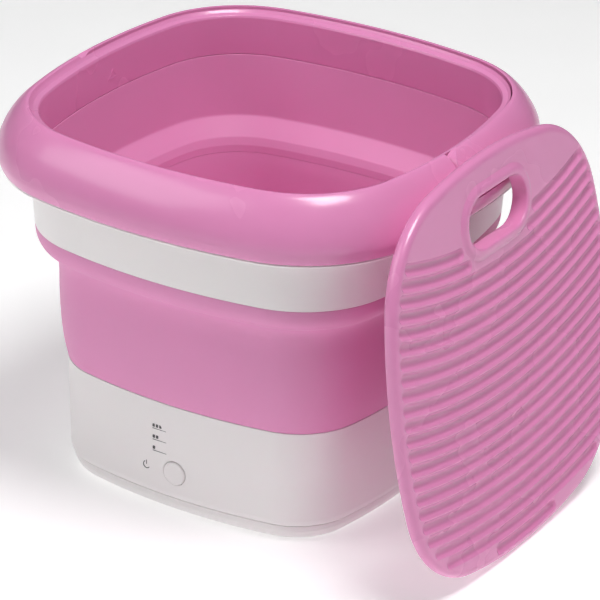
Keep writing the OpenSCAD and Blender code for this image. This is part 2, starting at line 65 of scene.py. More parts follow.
BULGE = 2.2                      # the collar's widest line, outside its own lower edge
COLLAR_HIGH = box_mm("collar")[1]
HALF_X = COLLAR_HIGH.x - BULGE
HALF_Y = COLLAR_HIGH.y - BULGE
CORNER_R = 111.0
SIDE_ARC = math.radians(11.2)
FRONT_ARC = math.radians(10.8)
RIM_Z = 316.6
BASE_TOP = box_mm("base_shell")[1].z
BAND_Z = box_mm("band_ring")[0].z
FLANGE_Z = box_mm("band_ring")[1].z
SKIRT_Z = box_mm("bellows_skirt")[0].z
SEAM_Z = box_mm("base_plate")[1].z
LIP_D = -24.1
SWING = next(j for j in frame["record"]["behaviour"]["joints"] if j["name"] == "handle_swing")
PIVOT_Y = SWING["pos_m"][1] / MM
PIVOT_Z = SWING["pos_m"][2] / MM
TAB_R = 17.6


# ---- Rounded square outlines ----------------------------------------------------------------
class Outline:
    """A square with bulged sides and round corners, and its parallel offsets."""

    def __init__(self, half_x, half_y, corner, side_arc, front_arc, side_steps=12, corner_steps=20):
        self.a, self.b, self.r = half_x, half_y, corner
        self.sa, self.fa = side_arc, front_arc
        self.side_steps, self.corner_steps = side_steps, corner_steps
        det = (1 - math.cos(side_arc)) * (1 - math.cos(front_arc)) - math.sin(front_arc) * math.sin(side_arc)
        u, v = half_x - corner, half_y - corner
        self.p = (u * (1 - math.cos(front_arc)) - math.sin(front_arc) * v) / det
        self.q = ((1 - math.cos(side_arc)) * v - math.sin(side_arc) * u) / det

    def quarter(self, d):
        """Points from +X to +Y on the outline moved outward by d."""
        points = []
        for i in range(self.side_steps):
            t = self.sa * i / self.side_steps
            points.append((self.a - self.r - self.p + (self.p + self.r + d) * math.cos(t),
                           (self.p + self.r + d) * math.sin(t)))
        cx = self.a - self.r - self.p + self.p * math.cos(self.sa)
        cy = self.p * math.sin(self.sa)
        for i in range(self.corner_steps):
            t = self.sa + (math.pi / 2 - self.sa - self.fa) * i / self.corner_steps
            points.append((cx + (self.r + d) * math.cos(t), cy + (self.r + d) * math.sin(t)))
        for i in range(self.side_steps + 1):
            t = math.pi / 2 - self.fa + self.fa * i / self.side_steps
            points.append(((self.q + self.r + d) * math.cos(t),
                           self.b - self.r - self.q + (self.q + self.r + d) * math.sin(t)))
        return points

    def ring(self, d):
        q = self.quarter(d)
        return (q + [(-x, y) for x, y in reversed(q[:-1])] + [(-x, -y) for x, y in q[1:]]
                + [(x, -y) for x, y in reversed(q[1:-1])])

    def front_y(self, x, d):
        """Distance from the X axis to the front or back wall at x."""
        radius = self.q + self.r + d
        return self.b - self.r - self.q + math.sqrt(radius * radius - x * x)


TUB = Outline(HALF_X, HALF_Y, CORNER_R, SIDE_ARC, FRONT_ARC)


def rounded(corners, closed=True, steps=5):
    """A polyline with each corner (x, y, radius) turned into an arc; radius 0 or none keeps it sharp."""
    out = []
    n = len(corners)
    for i, c in enumerate(corners):
        here = Vector(c[:2])
        radius = c[2] if len(c) > 2 else 0
        if radius == 0 or (not closed and i in (0, n - 1)):
            out.append(tuple(here))
            continue
        before = Vector(corners[i - 1][:2]) - here
        after = Vector(corners[(i + 1) % n][:2]) - here
        angle = before.angle(after)
        cut = min(radius / math.tan(angle / 2), before.length * 0.49, after.length * 0.49)
        start, end = here + before.normalized() * cut, here + after.normalized() * cut
        for k in range(steps + 1):
            t = k / steps
            out.append(tuple(start * (1 - t) ** 2 + here * 2 * t * (1 - t) + end * t * t))
    return out


def curve_through(points, steps=4):
    """A Catmull-Rom curve through open points."""
    out = []
    ends = [points[0]] + list(points) + [points[-1]]
    for i in range(1, len(ends) - 2):
        p0, p1, p2, p3 = (Vector(ends[j]) for j in (i - 1, i, i + 1, i + 2))
        for k in range(steps):
            t = k / steps
            out.append(tuple(0.5 * (2 * p1 + (p2 - p0) * t + (2 * p0 - 5 * p1 + 4 * p2 - p3) * t * t
                                    + (3 * p1 - p0 - 3 * p2 + p3) * t ** 3)))
    out.append(tuple(points[-1]))
    return out


# ---- Mesh helpers -----------------------------------------------------------------------------
def new_object(name, verts, faces, smooth_angle=35):
    """A mesh object from millimetre points, with outward normals and smooth shading up to an angle."""
    mesh = bpy.data.meshes.new(name)
    mesh.from_pydata([(x * MM, y * MM, z * MM) for x, y, z in verts], [], faces)
    work = bmesh.new()
    work.from_mesh(mesh)
    bmesh.ops.recalc_face_normals(work, faces=work.faces)
    work.to_mesh(mesh)
    work.free()
    piece = bpy.data.objects.new(name, mesh)
    bpy.context.scene.collection.objects.link(piece)
    shade(piece, smooth_angle)
    return piece


def shade(piece, angle):
    mesh = piece.data
    mesh.polygons.foreach_set("use_smooth", [True] * len(mesh.polygons))
    if hasattr(mesh, "set_sharp_from_angle"):
        mesh.set_sharp_from_angle(angle=math.radians(angle))


def loft(name, outline, section, closed=True, smooth_angle=35):
    """A ring or solid whose section points (d, z) follow the outline; an open section is capped."""
    rings = [outline.ring(d) for d, _ in section]
    n = len(rings[0])
    verts = [(x, y, section[i][1]) for i, ring in enumerate(rings) for x, y in ring]
    m = len(section)
    faces = []
    for i in range(m if closed else m - 1):
        j = (i + 1) % m
        faces += [(i * n + k, i * n + (k + 1) % n, j * n + (k + 1) % n, j * n + k) for k in range(n)]
    if not closed:
        faces += [tuple(range(n))[::-1], tuple((m - 1) * n + k for k in range(n))]
    return new_object(name, verts, faces, smooth_angle)


def turned(name, section, centre=(0, 0, 0), axis="Z", steps=96, smooth_angle=35):
    """A solid of revolution from an open section (radius, height) whose ends lie on the axis or are capped."""
    verts, faces, rows = [], [], []
    for radius, height in section:
        if radius < 1e-6:
            rows.append([len(verts)])
            verts.append((0, 0, height))
        else:
            rows.append(list(range(len(verts), len(verts) + steps)))
            verts += [(radius * math.cos(2 * math.pi * k / steps), radius * math.sin(2 * math.pi * k / steps),
                       height) for k in range(steps)]
    for low, high in zip(rows, rows[1:]):
        for k in range(steps):
            quad = [low[k % len(low)], low[(k + 1) % len(low)], high[(k + 1) % len(high)], high[k % len(high)]]
            face = list(dict.fromkeys(quad))
            if len(face) > 2:
                faces.append(tuple(face))
    for row in (rows[0], rows[-1]):
        if len(row) > 1:
            faces.append(tuple(row))
    turn = {"X": Matrix.Rotation(math.pi / 2, 4, "Y"), "Y": Matrix.Rotation(-math.pi / 2, 4, "X"),
            "-Y": Matrix.Rotation(math.pi / 2, 4, "X"), "Z": Matrix.Identity(4)}[axis]
    verts = [tuple(turn @ Vector(v) + Vector(centre)) for v in verts]
    return new_object(name, verts, faces, smooth_angle)


def prism(name, points, low, high, place=None):
    """An extruded outline between two heights, put in place by a matrix of millimetre moves."""
    n = len(points)
    verts = [Vector((x, y, low)) for x, y in points] + [Vector((x, y, high)) for x, y in points]
    if place is not None:
        verts = [place @ v for v in verts]
    faces = [tuple(range(n))[::-1], tuple(range(n, 2 * n))]
    faces += [(k, (k + 1) % n, n + (k + 1) % n, n + k) for k in range(n)]
    return new_object(name, [tuple(v) for v in verts], faces)


def combine(target, others, operation, smooth_angle=35, solver="EXACT"):
    """Applies boolean differences, unions or intersections to target and deletes the other objects."""
    for other in others:
        modifier = target.modifiers.new("cut", "BOOLEAN")
        modifier.operation = operation
        modifier.solver = solver
        modifier.object = other
        apply_modifiers(target)
        bpy.data.objects.remove(other, do_unlink=True)
    shade(target, smooth_angle)
    return target


def apply_modifiers(piece):
    graph = bpy.context.evaluated_depsgraph_get()
    graph.update()
    mesh = bpy.data.meshes.new_from_object(piece.evaluated_get(graph))
    piece.modifiers.clear()
    old = piece.data
    piece.data = mesh
    bpy.data.meshes.remove(old)


def bevel(piece, width, angle=40, segments=2):
    """Rounds the sharp edges by a width in millimetres."""
    modifier = piece.modifiers.new("round", "BEVEL")
    modifier.width = width * MM
    modifier.segments = segments
    modifier.limit_method = "ANGLE"
    modifier.angle_limit = math.radians(angle)
    modifier.use_clamp_overlap = True
    apply_modifiers(piece)
    shade(piece, 35)
    return piece


# ---- Materials --------------------------------------------------------------------------------
def blend_colours(tree, factor, first, second):
    """A mix of two colours, each a colour or an output, by a factor output."""
    mix = tree.nodes.new("ShaderNodeMix")
    mix.data_type = "RGBA"
    low, high = [s for s in mix.inputs if s.type == "RGBA"]
    for socket, value in ((low, first), (high, second)):
        if isinstance(value, tuple):
            socket.default_value = (*value, 1)
        else:
            tree.links.new(value, socket)
    tree.links.new(factor, mix.inputs[0])
    return next(s for s in mix.outputs if s.type == "RGBA")


def material(name, colour, roughness, variation=0.05, bump=0.02, bump_scale=900.0, cloud_scale=9.0,
             rough_spread=0.06, metallic=0.0, coat=0.0, wear=0.0, subsurface=0.0, ior=1.46):
    """A moulded surface: cloudy colour, uneven gloss, fine grain and paler worn edges, all procedural."""
    mat = bpy.data.materials.new(name)
    mat.use_nodes = True
    nodes, links = mat.node_tree.nodes, mat.node_tree.links
    shader = nodes["Principled BSDF"]
    shader.inputs["Metallic"].default_value = metallic
    shader.inputs["IOR"].default_value = ior
    shader.inputs["Coat Weight"].default_value = coat
    shader.inputs["Coat Roughness"].default_value = 0.12
    shader.inputs["Subsurface Weight"].default_value = subsurface
    shader.inputs["Subsurface Radius"].default_value = (0.006, 0.003, 0.004)
    place = nodes.new("ShaderNodeTexCoord")
    cloud = nodes.new("ShaderNodeTexNoise")
    cloud.inputs["Scale"].default_value = cloud_scale
    cloud.inputs["Detail"].default_value = 3.0
    grain = nodes.new("ShaderNodeTexNoise")
    grain.inputs["Scale"].default_value = bump_scale
    grain.inputs["Detail"].default_value = 2.0
    for texture in (cloud, grain):
        links.new(place.outputs["Object"], texture.inputs["Vector"])
    dark = tuple(c * (1 - variation) for c in colour)
    light = tuple(min(1.0, c * (1 + variation)) for c in colour)
    colour_out = blend_colours(mat.node_tree, cloud.outputs["Fac"], dark, light)
    if wear > 0:
        geometry = nodes.new("ShaderNodeNewGeometry")
        edge = nodes.new("ShaderNodeMapRange")
        edge.inputs["From Min"].default_value = 0.53
        edge.inputs["From Max"].default_value = 0.62
        edge.inputs["To Max"].default_value = wear
        links.new(geometry.outputs["Pointiness"], edge.inputs["Value"])
        pale = tuple(c * 0.6 + 0.36 for c in colour)
        colour_out = blend_colours(mat.node_tree, edge.outputs["Result"], colour_out, pale)
    links.new(colour_out, shader.inputs["Base Color"])
    gloss = nodes.new("ShaderNodeMapRange")
    gloss.inputs["From Min"].default_value = 0.3
    gloss.inputs["From Max"].default_value = 0.7
    gloss.inputs["To Min"].default_value = max(0.02, roughness - rough_spread)
    gloss.inputs["To Max"].default_value = roughness + rough_spread
    links.new(cloud.outputs["Fac"], gloss.inputs["Value"])
    links.new(gloss.outputs["Result"], shader.inputs["Roughness"])
    relief = nodes.new("ShaderNodeBump")
    relief.inputs["Strength"].default_value = bump
    relief.inputs["Distance"].default_value = 0.0004
    links.new(grain.outputs["Fac"], relief.inputs["Height"])
    links.new(relief.outputs["Normal"], shader.inputs["Normal"])
    return mat


def brushed(name, colour, roughness):
    """Bare metal with fine turning lines round Z."""
    mat = material(name, colour, roughness, variation=0.04, bump=0.05, bump_scale=400, metallic=1.0)
    nodes, links = mat.node_tree.nodes, mat.node_tree.links
    wave = nodes.new("ShaderNodeTexWave")
    wave.wave_type = "RINGS"
    wave.rings_direction = "Z"
    wave.inputs["Scale"].default_value = 300.0
    wave.inputs["Distortion"].default_value = 4.0
    place = next(n for n in nodes if n.type == "TEX_COORD")
    links.new(place.outputs["Object"], wave.inputs["Vector"])
    relief = next(n for n in nodes if n.type == "BUMP")
    links.new(wave.outputs["Fac"], relief.inputs["Height"])
    return mat


GLOSS_PINK = material("gloss_pink", (0.84, 0.30, 0.57), 0.27, variation=0.03, bump=0.015, coat=0.25,
                      rough_spread=0.04, subsurface=0.05)
SOFT_PINK = material("soft_pink", (0.83, 0.32, 0.58), 0.52, variation=0.04, bump=0.08, bump_scale=1400,
                     subsurface=0.08)
DEEP_PINK = material("deep_pink", (0.87, 0.32, 0.62), 0.38, variation=0.04, bump=0.03, subsurface=0.05)
WHITE = material("warm_white", (0.93, 0.895, 0.895), 0.34, variation=0.02, bump=0.03, wear=0.2, subsurface=0.04)
GREY_RUBBER = material("grey_rubber", (0.10, 0.10, 0.105), 0.75, variation=0.1, bump=0.2)
BLACK_RUBBER = material("black_rubber", (0.02, 0.02, 0.02), 0.6, variation=0.2, bump=0.15)
DARK_NYLON = material("dark_nylon", (0.03, 0.03, 0.033), 0.5, variation=0.15, bump=0.1, wear=0.1)
IVORY = material("ivory_nylon", (0.78, 0.72, 0.55), 0.42, variation=0.05, bump=0.05)
BOARD = material("board_green", (0.02, 0.12, 0.05), 0.35, variation=0.25, bump=0.05, cloud_scale=120)
CLEAR = material("clear_guide", (0.85, 0.90, 0.92), 0.12, variation=0.02, bump=0.01, coat=0.5)
CERAMIC = material("transducer_face", (0.62, 0.60, 0.55), 0.45, variation=0.08, bump=0.1)
INK = material("printed_ink", (0.09, 0.085, 0.09), 0.55, variation=0.15, bump=0.05)
STEEL = brushed("plated_steel", (0.60, 0.61, 0.63), 0.28)
CAN_STEEL = brushed("drawn_steel", (0.50, 0.51, 0.53), 0.34)
BRONZE = brushed("sintered_bronze", (0.55, 0.34, 0.13), 0.4)

NODE_MATERIALS = {
    "white_shell": WHITE, "grey_rubber": GREY_RUBBER, "steel": STEEL, "basin_pink": DEEP_PINK,
    "soft_pink": SOFT_PINK, "gloss_pink": GLOSS_PINK, "dark_nylon": DARK_NYLON, "motor_steel": CAN_STEEL,
    "bronze": BRONZE, "black_rubber": BLACK_RUBBER, "transducer_metal": CERAMIC, "board_green": BOARD,
    "clear_plastic": CLEAR, "ivory_nylon": IVORY,
}


def paint(piece, mat):
    piece.data.materials.clear()
    piece.data.materials.append(mat)
    return piece


def finish_piece(piece, mat, body, slot, *nodes):
    """Gives a piece its material and body, and hides the CAD nodes that it stands for; the slot argument is not used.
    """
    paint(piece, mat)
    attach(piece, body)
    if nodes:
        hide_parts(*nodes)
    return piece


# ---- Upper ring -------------------------------------------------------------------------------
RIM_CURVE = curve_through([
    (-1.6, 267.4), (-0.2, 268.4), (1.2, 272.5), (BULGE, 277.5), (1.5, 284), (-0.8, 291.5), (-5, 300),
    (-11, 308.3), (-16.2, 313.6), (-19.4, 315.9), (-21.3, RIM_Z)
], 5)
ALONG_X = Matrix(((0, 0, 1, 0), (1, 0, 0, 0), (0, 1, 0, 0), (0, 0, 0, 1)))   # local x, y, z to Y, Z, X
REACH = 400.0                                                               # past the tub's outside


def behind_pivot(grow, start):
    """A prism along X over all that lies behind a line rounding the pivot from start degrees to its underside."""
    r = TAB_R + grow
    arc = [(PIVOT_Y + r * math.cos(math.radians(t)), PIVOT_Z + r * math.sin(math.radians(t)))
           for t in range(start, 271, 5)]
    points = [(REACH, PIVOT_Z - r), (REACH, REACH), (arc[0][0], REACH)] + arc
    return prism("behind", points, -REACH, REACH, ALONG_X)


def make_collar():
    section = RIM_CURVE + rounded([
        (-23.1, 316.1, 0.8), (-24.5, 313.8, 1.0), (-26.3, 311.9, 1.2), (-30.4, 311, 0.8), (-31.2, 309.2, 1.0),
        (-31.6, 277.2, 0.5), (-29.2, 277.2), (-28, 269.5), (-3.8, 267.4)
    ], closed=False)
    collar = loft("collar_rim", TUB, section)
    cutter = combine(behind_pivot(0.6, 180), [prism("core", TUB.ring(LIP_D), 200, REACH + 10)], "DIFFERENCE")
    combine(collar, [cutter], "DIFFERENCE")
    return finish_piece(collar, GLOSS_PINK, "ring", "gloss_pink", "collar")


def make_handle():
    outer = curve_through([(1.1, 283), (-0.8, 291.5), (-5, 300), (-11, 308.3), (-16.2, 313.6), (-19.4, 315.9),
                           (-21.3, RIM_Z)], 5)
    outer = rounded([(-2.8, 281.5), (-0.8, 281.5, 1.2), (0.9, 281.7, 1.2), (1.1, 283)], closed=False) + outer[1:]
    shell = outer + rounded([(-23.0, 316.3, 0.6), (-23.3, 311.5), (-21.4, 311.2), (-18.6, 311.4), (-13.2, 305.6),
                             (-8, 297.8), (-4.2, 290.4), (-2.8, 283)], closed=False)
    handle = loft("handle_bail_shell", TUB, shell)
    tabs = loft("tabs", TUB, outer + [(-23.0, 316.3), (-23.3, 281.5)])
    disc = turned("disc", [(TAB_R - 0.1, -REACH), (TAB_R - 0.1, REACH)], (0, PIVOT_Y, PIVOT_Z), "X", 96)
    combine(tabs, [disc], "INTERSECT")
    combine(handle, [behind_pivot(0.0, 90)], "INTERSECT")
    combine(handle, [tabs], "UNION")
    bore = turned("bore", [(4.05, -HALF_X + 9), (4.05, HALF_X - 9)], (0, PIVOT_Y, PIVOT_Z), "X", 64)
    combine(handle, [bore], "DIFFERENCE")
    return finish_piece(handle, GLOSS_PINK, "handle", "gloss_pink", "handle_bail")


def make_band():
    section = rounded([
        (-26.8, BAND_Z, 0.8), (-25.4, 240), (-24.2, 258, 6), (-22, 263.4, 3), (-17, 264.7, 2), (-2.2, 264.8, 0.8),
        (-1.4, 266, 0.6), (-2.2, FLANGE_Z, 0.4), (-26.8, FLANGE_Z), (-27.2, 260), (-29.2, BAND_Z, 0.8)
    ])
    return finish_piece(loft("white_band", TUB, section), WHITE, "ring", "white_shell", "band_ring")


def make_skirt():
    outside = curve_through([(-40.2, SKIRT_Z), (-35.8, 196.8), (-31.2, 200.8), (-28.2, 206.6), (-27.2, 212),
                             (-27.1, BAND_Z - 0.2)], 6)
    section = outside + rounded([
        (-29.3, BAND_Z - 0.2), (-30.4, 209.4, 3), (-33.5, 203.5, 4), (-41.6, 199.4, 2), (-43.2, 203.5, 2),
        (-41.8, 207.3, 3), (-32, 219.4, 4), (-29.5, 226, 3), (-29.5, 276.8), (-31.8, 276.8, 0.5), (-33.6, 223, 5),
        (-44.6, 207.6, 5), (-46.6, 201, 4), (-46.8, SKIRT_Z)
    ], closed=False)
    return finish_piece(loft("shoulder_skirt", TUB, section), SOFT_PINK, "ring", "soft_pink", "bellows_skirt")


def make_bellows():
    top = SKIRT_Z - 0.3
    outside = curve_through([(-52.3, BASE_TOP + 1.2), (-51.4, 104), (-49, 116), (-47, 134), (-46, 155), (-45.8, 174),
                             (-44.8, 184), (-42.8, 190.4), (-40.2, top)], 5)
    inside = curve_through([(-46.8, top), (-47.6, 186), (-48, 174), (-48.2, 155), (-49.3, 134), (-51.4, 116),
                            (-54, 106)], 4)
    section = [(-53.2, BASE_TOP)] + outside + inside + rounded([(-57, 101.8, 2), (-62.6, 101.6, 1),
                                                              (-62.6, BASE_TOP)], closed=False)
    bellows = finish_piece(loft("folding_wall", TUB, section), SOFT_PINK, "base", "soft_pink", "bellows")
    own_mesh(bellows)
    return bellows


# ---- Base -------------------------------------------------------------------------------------
WALL_D = -53.7
BUTTON_LOW, BUTTON_HIGH = box_mm("power_button")
BUTTON_X = (BUTTON_LOW.x + BUTTON_HIGH.x) / 2
BUTTON_Z = (BUTTON_LOW.z + BUTTON_HIGH.z) / 2
BUTTON_R = 10.0
BUTTON_Y = BUTTON_LOW.y
FRONT_Y = -TUB.front_y(0, WALL_D)
INLET_LOW, INLET_HIGH = box_mm("dc_inlet")
INLET_X, INLET_Z = (INLET_LOW.x + INLET_HIGH.x) / 2, (INLET_LOW.z + INLET_HIGH.z) / 2
CAP_LOW, CAP_HIGH = box_mm("drain_cap")
SPOUT_X, SPOUT_Z = (CAP_LOW.x + CAP_HIGH.x) / 2, (CAP_LOW.z + CAP_HIGH.z) / 2
SPOUT_Y = 84.0
PAD_R = 9.1


def rod_y(name, radius, y0, y1, x, z, steps=96):
    return turned(name, [(radius, y0), (radius, y1)], (x, 0, z), "Y", steps)


def make_base_shell():
    section = rounded([
        (-57.2, SEAM_Z + 0.3, 0.6), (-55.2, 16.8, 3), (-54.3, 21, 5), (-54, 30), (-53.2, 65), (-52.3, BASE_TOP, 0.8),
        (-54.8, BASE_TOP), (-55.7, 65), (-56.5, 30), (-57.4, 21), (-59, SEAM_Z + 0.3)
    ])
    shell = loft("base_housing", TUB, section)
    cutters = [
        turned("cut", [(BUTTON_R + 1.2, FRONT_Y - 3), (BUTTON_R + 1.2, FRONT_Y - 0.1),
                       (BUTTON_R + 0.35, FRONT_Y + 0.8),
                       (BUTTON_R + 0.35, FRONT_Y + 8)], (BUTTON_X, 0, BUTTON_Z), "Y", 96),
        rod_y("cut", 5.5, 110, 160, INLET_X, INLET_Z),
        rod_y("cut", 8.2, 110, 160, SPOUT_X, SPOUT_Z),
    ]
    combine(shell, cutters, "DIFFERENCE")
    return finish_piece(shell, WHITE, "base", "white_shell", "base_shell")


def make_base_plate():
    section = rounded([
        (-69, 0, 0.8), (-64, 1.2, 4), (-60, 4.6, 5), (-57.6, 10, 4), (-57, SEAM_Z, 0.6), (-59.5, SEAM_Z), (-59.8, 12),
        (-61.8, 7), (-66, 3.8)
    ], closed=False)
    plate = loft("bottom_pan", TUB, section, closed=False)
    points = TUB.ring(-100.0)
    corner = TUB.side_steps + TUB.corner_steps // 2
    quarter = len(points) // 4
    cutters = [prism("cut", TUB.ring(-76.0), -1, 1.2)]
    for i in (corner, 2 * quarter - corner, 2 * quarter + corner, 4 * quarter - corner):
        cutters.append(turned("cut", [(PAD_R, -1), (PAD_R, 2.4)], (points[i][0], points[i][1], 0), "Z", 64))
    for k in range(-3, 4):
        slot = [(k * 9 - 1.5, -62), (k * 9 + 1.5, -62), (k * 9 + 1.5, -28), (k * 9 - 1.5, -28)]
        cutters.append(prism("cut", rounded([(x, y, 1.4) for x, y in slot]), -1, 8))
    combine(plate, cutters, "DIFFERENCE")
    return finish_piece(plate, WHITE, "base", "white_shell", "base_plate")


def make_basin():
    floor = 49.0
    section = rounded([
        (-88, floor - 2.5, 4), (-79.5, 48.3, 4), (-72.4, 54.6, 6), (-67.6, 66), (-63.8, 84), (-62.4, 94.8),
        (-55.1, 95), (-55.1, 98.8), (-64.9, 98.8, 0.8), (-66.3, 84), (-70.4, 65.5, 8), (-75, 55, 6), (-84, floor, 8),
        (-100, floor)
    ], closed=False)
    basin = loft("tub_floor", TUB, section, closed=False)
    hub = turned("hub", [(13, 41.5), (13, 48.5)], steps=96)
    combine(basin, [hub], "UNION")
    cutters = [
        turned("cut", [(64, floor - 0.8), (66, floor + 2)], steps=128),
        turned("cut", [(9.02, 40), (9.02, 47.4)], steps=64),
        turned("cut", [(5.4, 40), (5.4, 60)], steps=64),
        turned("cut", [(6, 40), (6, 60)], (SPOUT_X, SPOUT_Y, 0), steps=48),
        turned("cut", [(9.5, floor - 0.7), (10.5, floor + 2)], (SPOUT_X, SPOUT_Y, 0), steps=48),
    ]
    combine(basin, cutters, "DIFFERENCE")
    return finish_piece(basin, DEEP_PINK, "base", "basin_pink", "basin")


def make_impeller():
    low, high = box_mm("impeller")
    radius = high.x
    plate = rounded([(5.2, 49.6), (10, 49.6), (10, 51), (radius - 3, 51, 0.6), (radius, 52.6, 0.8),
                     (radius, 54, 0.8), (radius - 5, 55.2, 4), (24, 55.8, 6), (12, 59.6, 2), (9.6, 60, 0.4),
                     (4.02, 60), (4.02, 58.1), (5.2, 49.6)], closed=False)
    disc = turned("pulsator", plate[:-1] + [plate[0]], steps=144)
    vanes = []
    for k in range(5):
        turn = 2 * math.pi * k / 5
        side_a, side_b = [], []
        for j in range(13):
            f = j / 12
            r = 9 + (radius - 16) * f
            bend = turn + 0.55 * f * f
            half = (4.4 - 1.6 * f) / r
            side_a.append((r * math.cos(bend - half), r * math.sin(bend - half)))
            side_b.append((r * math.cos(bend + half), r * math.sin(bend + half)))
        vane = prism("vane", side_a + side_b[::-1], 54, 61)
        bevel(vane, 1.3, segments=3)
        vanes.append(vane)
    combine(disc, vanes, "UNION")
    return finish_piece(disc, WHITE, "rotor", "white_shell", "impeller")


def make_cap_dome():
    section = rounded([(4.2, 60.1), (9, 60.1, 0.3), (9, 62.5, 1.5), (7.4, 65, 2), (4, 66.3, 2), (0, 66.6)],
                      closed=False)
    inner = [(0, 62.8), (4.2, 62.8), (4.2, 60.1)]
    dome = turned("pulsator_cap", inner + section[1:], steps=96)
    return finish_piece(dome, DEEP_PINK, "rotor", "basin_pink", "impeller_cap")


def make_button():
    face = BUTTON_Y
    section = rounded([(0, face + 0.35), (BUTTON_R - 3.2, face + 0.25, 2), (BUTTON_R - 1.2, face, 1),
                       (BUTTON_R, face + 0.5, 0.6),
                       (BUTTON_R, face + 3.1), (BUTTON_R - 0.5, face + 3.1), (BUTTON_R - 0.5, face + 4),
                       (BUTTON_R + 1.2, face + 4), (BUTTON_R + 1.2, face + 5.2), (2.6, face + 5.2),
                       (2.6, BUTTON_HIGH.y), (0, BUTTON_HIGH.y)], closed=False)
    button = turned("push_button", section, (BUTTON_X, 0, BUTTON_Z), "Y", 96)
    return finish_piece(button, WHITE, "button", "white_shell", "power_button")


def make_drain_cap():
    back = CAP_LOW.y
    section = rounded([(8.1, back + 8.1), (8.1, back), (10.4, back, 0.4), (11, back + 0.8, 0.4), (11, back + 9, 2),
                       (9.4, back + 10.8, 1), (0, back + 10.8)], closed=False)
    cap = turned("drain_stopper", [(0, back + 8.1)] + section, (SPOUT_X, 0, SPOUT_Z), "Y", 96)
    grip = prism("grip", rounded([(-9, 0, 1), (9, 0, 1), (7, 7, 2.5), (-7, 7, 2.5)]), -1.5, 1.5,
                 Matrix.Translation((SPOUT_X, back + 8.8, SPOUT_Z)))
    bevel(grip, 0.6)
    combine(cap, [grip], "UNION")
    return finish_piece(cap, DEEP_PINK, "cap", "basin_pink", "drain_cap")


# ---- Washboard lid ----------------------------------------------------------------------------
LID_HALF_W, LID_HALF_H, LID_CORNER = 162.0, 163.0, 88.0
LID_ARC = math.radians(11.2)
LID_T = 12.0
LID_EDGE = 4.0
RIB_T = 2.0
LEAN = math.radians(8.8)
HOLE_V, HOLE_W, HOLE_H = 114.0, 88.0, 42.0
LIP_W, LIP_RISE = 8.0, 2.5
FLUTE_CENTRE, FLUTE_FIRST_R, FLUTE_PITCH, FLUTE_COUNT = 544.0, 448.0, 11.8, 22
FLUTE_END_D = -10.4              # how far inside the outline the flutes' round ends are centred
LID = Outline(LID_HALF_W, LID_HALF_H, LID_CORNER, LID_ARC, LID_ARC)
LID_LOW, LID_HIGH = box_mm("washboard_lid")
LID_PLACE = (Matrix.Translation((LID_LOW.x + (LID_HALF_H - LID_EDGE) * math.sin(LEAN),
                                 (LID_LOW.y + LID_HIGH.y) / 2, LID_HALF_H * math.cos(LEAN)))
             @ Matrix.Rotation(-LEAN, 4, "Y") @ ALONG_X)


class Stadium:
    """A slot outline with round ends, and its parallel offsets."""

    def __init__(self, centre_y, width, height, steps=24):
        self.y, self.w, self.h, self.steps = centre_y, width, height, steps

    def ring(self, d):
        r = self.h / 2 + d
        reach = (self.w - self.h) / 2
        points = []
        for side in (1, -1):
            for i in range(self.steps + 1):
                t = math.pi * i / self.steps - math.pi / 2
                points.append((side * (reach + r * math.cos(t)), self.y + side * r * math.sin(t)))
        return points


def inside(points, x, y):
    """Whether a point lies within a closed outline."""
    odd = False
    for (x0, y0), (x1, y1) in zip(points, points[1:] + points[:1]):
        if (y0 > y) != (y1 > y) and x < (x1 - x0) * (y - y0) / (y1 - y0) + x0:
            odd = not odd
    return odd


class Arc:
    """A stretch of a circle as a thin slot: its offsets are closed outlines with round ends."""

    def __init__(self, radius, start, end, cap_steps=12):
        self.r, self.start, self.end, self.cap_steps = radius, start, end, cap_steps
        self.steps = max(2, int(abs(end - start) * radius / 5))

    def at(self, radius, angle):
        return radius * math.sin(angle), FLUTE_CENTRE - radius * math.cos(angle)

    def ring(self, d):
        points = []
        for side, first, last in ((1, self.start, self.end), (-1, self.end, self.start)):
            for i in range(self.steps + 1):
                points.append(self.at(self.r + side * d, first + (last - first) * i / self.steps))
            x, y = self.at(self.r, last)
            for i in range(1, self.cap_steps):
                t = last - side * math.pi / 2 + math.pi * i / self.cap_steps
                points.append((x + d * math.cos(t), y + d * math.sin(t)))
        return points


def flute_spans(radius, edge, lip):
    """The stretches of one row that lie inside the border and clear of the hand hole's lip."""
    spans, start, last = [], None, None
    steps = 900
    for i in range(steps + 1):
        t = -0.4 + 0.8 * i / steps
        x, y = radius * math.sin(t), FLUTE_CENTRE - radius * math.cos(t)
        free = inside(edge, x, y) and not inside(lip, x, y)
        if free and start is None:
            start = t
        if not free and start is not None:
            spans.append((start, last))
            start = None
        last = t
    return [s for s in spans if (s[1] - s[0]) * radius > 6]


def make_flutes():
    """Cutters for the scooped rows: each is a round-ended groove with softened shoulders."""
    section = [(5.87, 0.5), (5.85, 0.15), (5.55, -0.03), (5.3, -0.12), (5.05, -0.28), (4.8, -0.52), (4.5, -0.87),
               (4.15, -1.3), (3.65, -1.78), (3.05, -2.22), (2.35, -2.6), (1.5, -2.9), (0.7, -3.03), (0.25, -3.05)]
    edge = LID.ring(FLUTE_END_D)
    lip = Stadium(HOLE_V, HOLE_W, HOLE_H).ring(LIP_W + 7.5)
    cutters = []
    for i in range(FLUTE_COUNT):
        radius = FLUTE_FIRST_R + FLUTE_PITCH * i
        for start, end in flute_spans(radius, edge, lip):
            groove = [(d, LID_T + z) for d, z in section]
            cutters.append(loft("flute", Arc(radius, start, end), groove, closed=False))
    return cutters


def join(pieces):
    """Joins mesh objects into the first one."""
    work = bmesh.new()
    for piece in pieces:
        work.from_mesh(piece.data)
    work.to_mesh(pieces[0].data)
    work.free()
    for piece in pieces[1:]:
        bpy.data.objects.remove(piece, do_unlink=True)
    return pieces[0]


